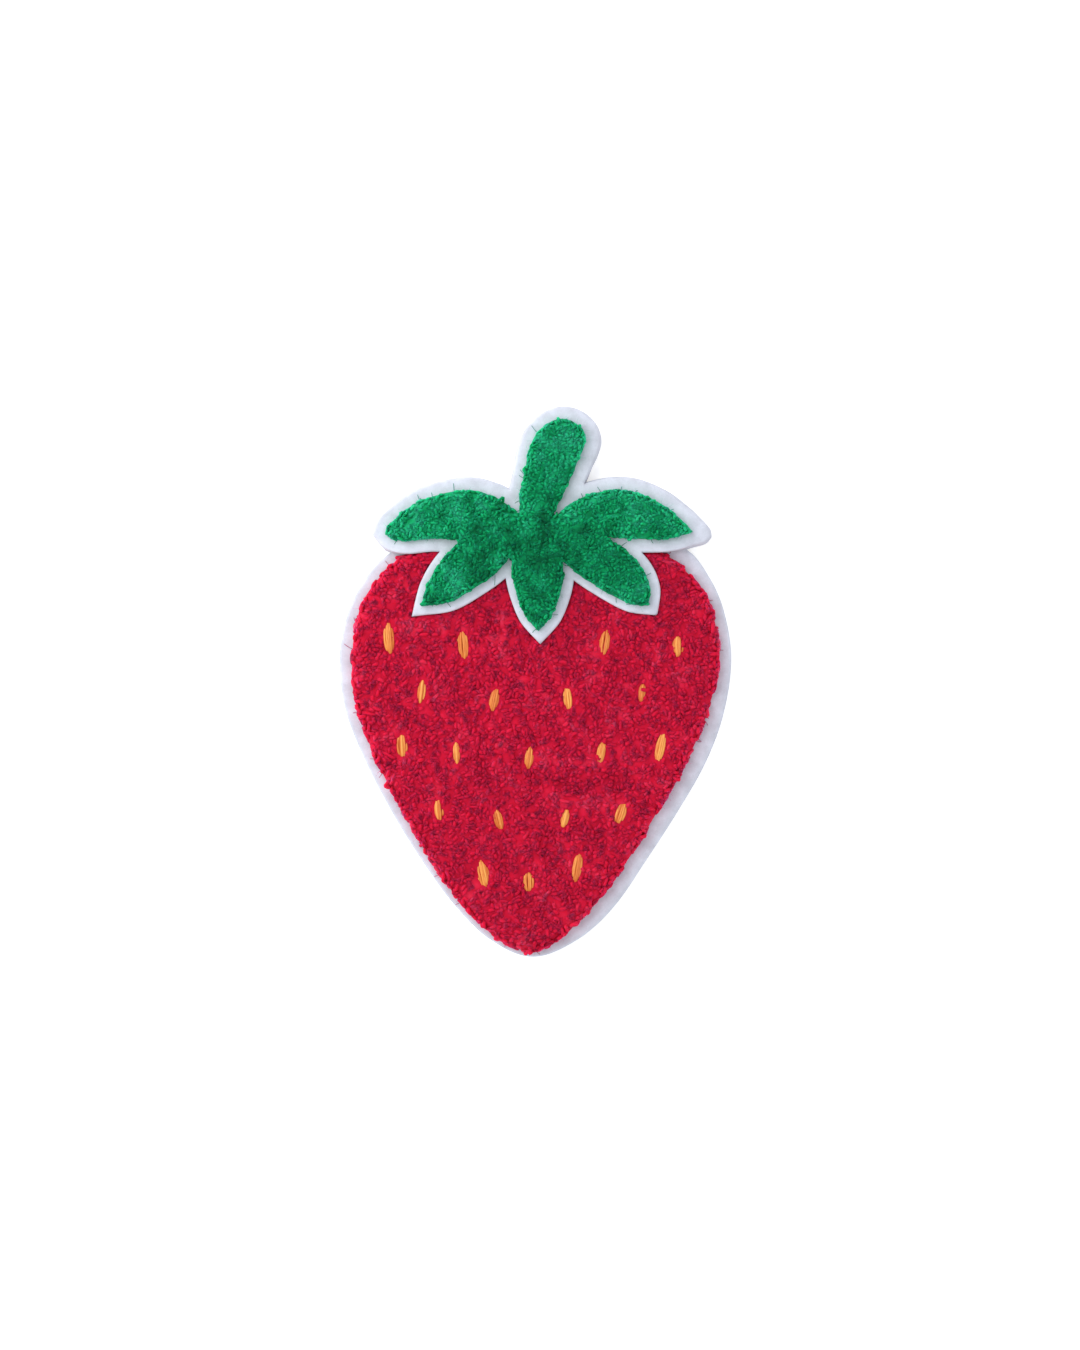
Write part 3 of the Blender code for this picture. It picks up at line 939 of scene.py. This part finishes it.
class STRAWBERRY_OT_fruit_pile(Operator):
    """Makes the fruit's loop pile"""

    bl_idname = "strawberry.fruit_pile"
    bl_label = "Fruit Pile"

    # Each piece holds the loops between two shares of the fruit's height.
    BANDS = (
        ("fruit_loops_shoulder", 0.70, 1.0), ("fruit_loops_upper", 0.51, 0.70),
        ("fruit_loops_lower", 0.31, 0.51), ("fruit_loops_tip", 0.0, 0.31),
    )

    def execute(self, context):
        yarn = settings().yarn
        self.rng = np.random.default_rng(yarn.seed)
        self.radius = yarn.fruit_diameter / 2
        self.low, self.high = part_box("fruit_pile")
        self.surface = Surface("fruit_pile")
        self.line = smooth_rim("fruit_pile", OUTLINE_STEP)
        self.calyx = smooth_rim("calyx_felt", OUTLINE_STEP)
        look = chenille_yarn(
            "crimson_chenille_yarn", linear("B61131"), tuple(yarn.fruit_colour),
            linear("EA3254"), (1, 0.6, 0.6),
        )
        felt_line, felt = smooth_rim("base_felt", OUTLINE_STEP), Surface("base_felt")
        ground_line = inset(self.line, MAT_INSET)
        mat = matted(ground_line, self.top, self.bottom, mottle_and_rim_highlight, ground_line)
        tails = yarn_tails(self.line, felt_line, felt.heights, self.rng)
        ground = piece("fruit_ground", joined([mat, tails]), look)
        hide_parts("fruit_pile")

        paths, spots = self.loops()
        depth = edge_of(spots, self.line)[0]
        tone = mottle_and_rim_highlight(spots, depth) + self.rng.normal(0, TONE_SPREAD, len(spots))
        share = (spots[:, 1] - self.low[1]) / (self.high[1] - self.low[1])
        for name, start, end in self.BANDS:
            band = (share >= start) & (share < end)
            sizes = self.radius * self.rng.uniform(0.85, 1.1, (band.sum(), 1))
            tubes = yarn_tubes(paths[band], sizes, self.rng, tone=tone[band])
            fuzz = loose_fibres(paths[band], self.radius, tone[band], self.rng)
            piece(name, joined([tubes, fuzz]), look)
        return {"FINISHED"}

    def bottom(self, points):
        return np.full(len(points), self.low[2])

    def top(self, points):
        """The pile's full height, also in the dips that the CAD leaves beside a part."""
        height = self.surface.heights(points)
        dipped = (height < self.low[2] + PRESSED) & (edge_of(points, self.calyx)[0] < 0)
        dipped &= edge_of(points, self.line)[0] > 0.8 * MM
        return np.where(dipped, self.high[2], height)

    def loops(self):
        """The loops' centrelines and places, clear of the calyx felt and of the seeds."""
        rng, spacing = self.rng, settings().yarn.fruit_spacing
        spots, azimuth, nearness = loop_places(
            self.line, spacing, self.radius, FRUIT_WANDER, self.line, rng
        )
        inside, calyx_way = edge_of(spots, self.calyx)
        keep = inside < -0.8 * self.radius
        close = np.clip(1 - (-inside - self.radius) / EDGE_BAND, 0, 1)
        azimuth = beside(azimuth, calyx_way, ALONG_EDGE * close)
        nearness = np.maximum(nearness, close)
        for node in SEEDS:
            centre, way, half = grain(node)
            reach = (spots - centre) @ np.stack([way, [-way[1], way[0]]], axis=1)
            ratio = np.linalg.norm(reach / (half + SEED_ROOM), axis=1)
            keep &= ratio > 1
            close = np.clip(1 - (ratio - 1) / 0.6, 0, 0.9)
            azimuth = beside(azimuth, np.broadcast_to(way, spots.shape), close)
            nearness = np.maximum(nearness, close)
        spots, azimuth, nearness = spots[keep], azimuth[keep], nearness[keep]
        height = self.top(spots) - self.low[2] - self.radius
        height *= rng.uniform(0.94, 1.02, len(spots))
        span = rng.uniform(*FRUIT_SPAN, len(spots)) * MM
        base = self.bottom(spots)
        return loop_paths(spots, base, height, azimuth, span, nearness, rng), spots


def grain(node):
    """A seed's centre, its lengthwise direction, and half its length and width."""
    spots = np.array([vertex.co[:] for vertex in cad_mesh(node).vertices])[:, :2]
    centre = (spots.min(0) + spots.max(0)) / 2
    spread = spots - centre
    _, _, axes = np.linalg.svd(spread, full_matrices=False)
    way = axes[0] * np.sign(axes[0][1])
    half = np.abs(spread @ np.stack([way, [-way[1], way[0]]], axis=1)).max(0)
    return centre, way, half


class STRAWBERRY_OT_seeds(Operator):
    """Makes the seeds, each a bundle of lengthwise threads in a dimple of the pile"""

    bl_idname = "strawberry.seeds"
    bl_label = "Seeds"

    def execute(self, context):
        seeds = settings().seeds
        look = stitching_thread(
            "polyester_seed_thread", linear("D0661C"), tuple(seeds.colour), linear("F4AB50")
        )
        radius = seeds.thread_diameter / 2
        for number, node in enumerate(SEEDS):
            rng = np.random.default_rng(number)
            offsets = np.linspace(-1, 1, seeds.threads) + rng.normal(0, 0.07, seeds.threads)
            paths = self.threads(node, offsets, radius, rng)
            # Each thread's tone differs at random, and the outer threads get painted shade.
            tone = np.clip(rng.normal(0.55, 0.28, len(paths)) - 0.2 * offsets**2, 0, 1)
            tubes = yarn_tubes(paths, radius, rng, tone=tone)
            made = piece(node.replace("seed", "seed_stitches"), tubes, look)
            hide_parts(node)
        return {"FINISHED"}

    def threads(self, node, offsets, radius, rng):
        """Threads side by side, highest and longest in the middle, pulled in at the ends.

        The offsets run from -1 to 1 across the seed, and t from -1 to 1 along it.
        """
        centre, way, half = grain(node)
        low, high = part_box(node)
        square = np.array([-way[1], way[0]])
        t = np.linspace(-1, 1, SEED_STEPS)
        pull = 1 - 0.6 * np.abs(t) ** 2.2
        paths = []
        for offset in offsets:
            reach = half[0] * math.sqrt(max(0.16, 1 - 0.7 * offset**2)) * rng.uniform(1.04, 1.2)
            across = offset * (half[1] - 0.25 * radius) * pull
            flat = centre + np.outer(t * reach, way) + np.outer(across, square)
            crown = math.sqrt(max(0.0, 1 - (0.75 * offset) ** 2))
            share = 0.45 + 0.52 * crown * np.sqrt(np.clip(1 - t**4, 0, 1))
            paths.append(np.column_stack([flat, low[2] + (high[2] - low[2]) * share]))
        return np.array(paths)


class STRAWBERRY_OT_calyx_felt(Operator):
    """Makes the calyx felt and its bond film, draped over the top edge of the fruit"""

    bl_idname = "strawberry.calyx_felt"
    bl_label = "Calyx Felt"

    def execute(self, context):
        felt = settings().felt
        sheet(
            "calyx_bond_film_sheet", "calyx_bond_film", bpy.data.materials["hot_melt_film"],
            edge_radius=0.08 * MM,
        )
        sheet(
            "calyx_felt_sheet", "calyx_felt", bpy.data.materials["needled_felt"],
            felt.edge_radius, felt.unevenness,
        )
        return {"FINISHED"}


class Field:
    """One stitched field of the calyx, which joins its neighbours without a groove."""

    def __init__(self, node):
        line = smooth_rim(node, OUTLINE_STEP)
        others = [rim(other) for other in CALYX_PILES if other != node]
        gap = np.min([np.abs(edge_of(line, other)[0]) for other in others], axis=0)
        closed = np.clip(2 * (1 - gap / SEAM_WIDTH), 0, 1)[:, None]
        self.line = line + (inset(line, -SEAM_REACH) - line) * closed
        self.open_edge = line[gap > SEAM_WIDTH]
        self.surface = Surface(node)
        middle = scattered(line, SHEET_STEP, SHEET_STEP, 0, np.random.default_rng(0))
        self.thickness = (self.surface.heights(middle) - self.bottom(middle)).max()

    def bottom(self, points):
        return self.surface.heights(points, down=False)

    def top(self, points):
        """The pile's top, rounded only towards its open edge."""
        away = 1 - np.clip(distance_to(self.open_edge, points) / PILE_EDGE_RADIUS, 0, 1)
        share = PILE_EDGE_SHARE + (1 - PILE_EDGE_SHARE) * np.sqrt(1 - away**2)
        return self.bottom(points) + self.thickness * share

    def tone(self, points, depth):
        """Painted shade darkens the pile at and below the hub and in its pits; painted light
        brightens it towards the leaf tips and above the hub.
        """
        away = np.clip(np.linalg.norm(points - HUB, axis=1) / HUB_REACH, 0, 1)
        above = np.clip((points[:, 1] - HUB[1]) / HUB_RISE + 0.2, 0, 1)
        strength, *where = LEAF_PIT_SHADE
        # Painted shade in random pits, weaker towards the open edge.
        pit_shade = strength * wavy(points, *where) * np.clip(depth / PILE_EDGE_RADIUS, 0.3, 1)
        # Painted shade at the hub, and painted light towards the tips and above the hub.
        shade = HUB_SHADE + TIP_LIGHT * away**2 + UPPER_LIGHT * above
        return mottle_and_rim_highlight(points, depth) + pit_shade + shade


class STRAWBERRY_OT_calyx_pile(Operator):
    """Makes the loop pile of the stem and the leaves"""

    bl_idname = "strawberry.calyx_pile"
    bl_label = "Calyx Pile"

    def execute(self, context):
        yarn = settings().yarn
        look = chenille_yarn(
            "green_chenille_yarn", linear("06653B"), tuple(yarn.leaf_colour),
            linear("20B276"), (0.6, 1, 0.8),
        )
        felt_line, felt = smooth_rim("calyx_felt", OUTLINE_STEP), Surface("calyx_felt")
        radius = yarn.leaf_diameter / 2
        for number, node in enumerate(CALYX_PILES):
            rng = np.random.default_rng(yarn.seed + 1 + number)
            field = Field(node)
            mat = matted(field.line, field.top, field.bottom, field.tone, field.open_edge)
            spots, azimuth, nearness = loop_places(
                field.line, yarn.leaf_spacing, radius, LEAF_WANDER, field.open_edge, rng
            )
            base = field.bottom(spots)
            full = field.top(spots) - base - radius
            height = full * (0.96 + 0.16 * wavy(spots, LEAF_TUFT, number))
            span = rng.uniform(*LEAF_SPAN, len(spots)) * MM
            paths = loop_paths(spots, base, height, azimuth, span, nearness, rng)
            tone = field.tone(spots, distance_to(field.open_edge, spots))
            tone += rng.normal(0, TONE_SPREAD, len(spots))
            sizes = radius * rng.uniform(0.85, 1.15, (len(spots), 1))
            tubes = yarn_tubes(paths, sizes, rng, tone=tone)
            parts = [mat, tubes, loose_fibres(paths, radius, tone, rng)]
            tails = yarn_tails(field.line, felt_line, felt.heights, rng)
            made = piece(node.replace("pile", "loops"), joined([*parts, tails]), look)
            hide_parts(node)
        return {"FINISHED"}


class STRAWBERRY_OT_studio(Operator):
    """Makes the floor, the lights and the camera"""

    bl_idname = "strawberry.studio"
    bl_label = "Studio"

    def execute(self, context):
        studio = settings().studio
        scene = context.scene
        low, high = (Vector(corner) for corner in CAD_BOX)
        middle = (low + high) / 2
        signs = [(-1, -1), (1, -1), (1, 1), (-1, 1)]
        corners = [(x * FLOOR_HALF, y * FLOOR_HALF, low.z - FLOOR_GAP) for x, y in signs]
        mesh = bpy.data.meshes.new("floor")
        mesh.from_pydata(corners, [], [(0, 1, 2, 3)])
        look = lit_acrylic("lit_acrylic_sheet", tuple(studio.floor_colour), studio.floor_glow)
        mesh.materials.append(look)
        floor = bpy.data.objects.new("floor", mesh)
        scene.collection.objects.link(floor)

        camera = bpy.data.objects.new("camera", bpy.data.cameras.new("camera"))
        scene.collection.objects.link(camera)
        camera.data.lens = studio.lens
        distance = studio.view_height * studio.lens / camera.data.sensor_width
        camera.location = middle + Vector((*VIEW_SHIFT, distance))
        camera.data.clip_start = 0.01
        scene.camera = camera

        for light in LIGHTS:
            self.area_light(*light, middle)
        world = bpy.data.worlds.new("studio_air")
        world.use_nodes = True
        air = world.node_tree.nodes["Background"]
        air.inputs["Color"].default_value = AIR_COLOUR
        air.inputs["Strength"].default_value = AIR_STRENGTH
        scene.world = world
        scene.view_settings.view_transform = "Standard"
        scene.view_settings.look = "None"
        return {"FINISHED"}

    def area_light(self, name, place, size, power, target):
        """A square softbox that faces the patch."""
        light = bpy.data.lights.new(name, "AREA")
        light.size = size
        light.energy = power
        lamp = bpy.data.objects.new(name, light)
        lamp.location = place
        lamp.rotation_euler = (target - lamp.location).to_track_quat("-Z", "Y").to_euler()
        bpy.context.scene.collection.objects.link(lamp)


class STRAWBERRY_PT_patch(Panel):
    """Lists the operators that make the patch"""

    bl_idname = "STRAWBERRY_PT_patch"
    bl_label = "Strawberry Patch"
    bl_space_type = "VIEW_3D"
    bl_region_type = "UI"
    bl_category = "Patch"

    def draw(self, context):
        for operator in OPERATORS:
            self.layout.operator(operator.bl_idname)
        for group in (settings().yarn, settings().felt, settings().seeds, settings().studio):
            box = self.layout.box()
            for name in group.bl_rna.properties.keys():
                if name not in ("rna_type", "name"):
                    box.prop(group, name)


SETTINGS = (YarnSettings, FeltSettings, SeedSettings, StudioSettings, StrawberrySettings)
OPERATORS = (
    STRAWBERRY_OT_studio,
    STRAWBERRY_OT_backing,
    STRAWBERRY_OT_base_felt,
    STRAWBERRY_OT_fruit_pile,
    STRAWBERRY_OT_seeds,
    STRAWBERRY_OT_calyx_felt,
    STRAWBERRY_OT_calyx_pile,
)
CLASSES = (*SETTINGS, *OPERATORS, STRAWBERRY_PT_patch)


def register():
    for kind in CLASSES:
        bpy.utils.register_class(kind)
    bpy.types.Scene.strawberry = PointerProperty(type=StrawberrySettings)


def unregister():
    del bpy.types.Scene.strawberry
    for kind in reversed(CLASSES):
        bpy.utils.unregister_class(kind)


def main():
    register()
    for operator in OPERATORS:
        family, name = operator.bl_idname.split(".")
        getattr(getattr(bpy.ops, family), name)()


if __name__ == "__main__":
    main()
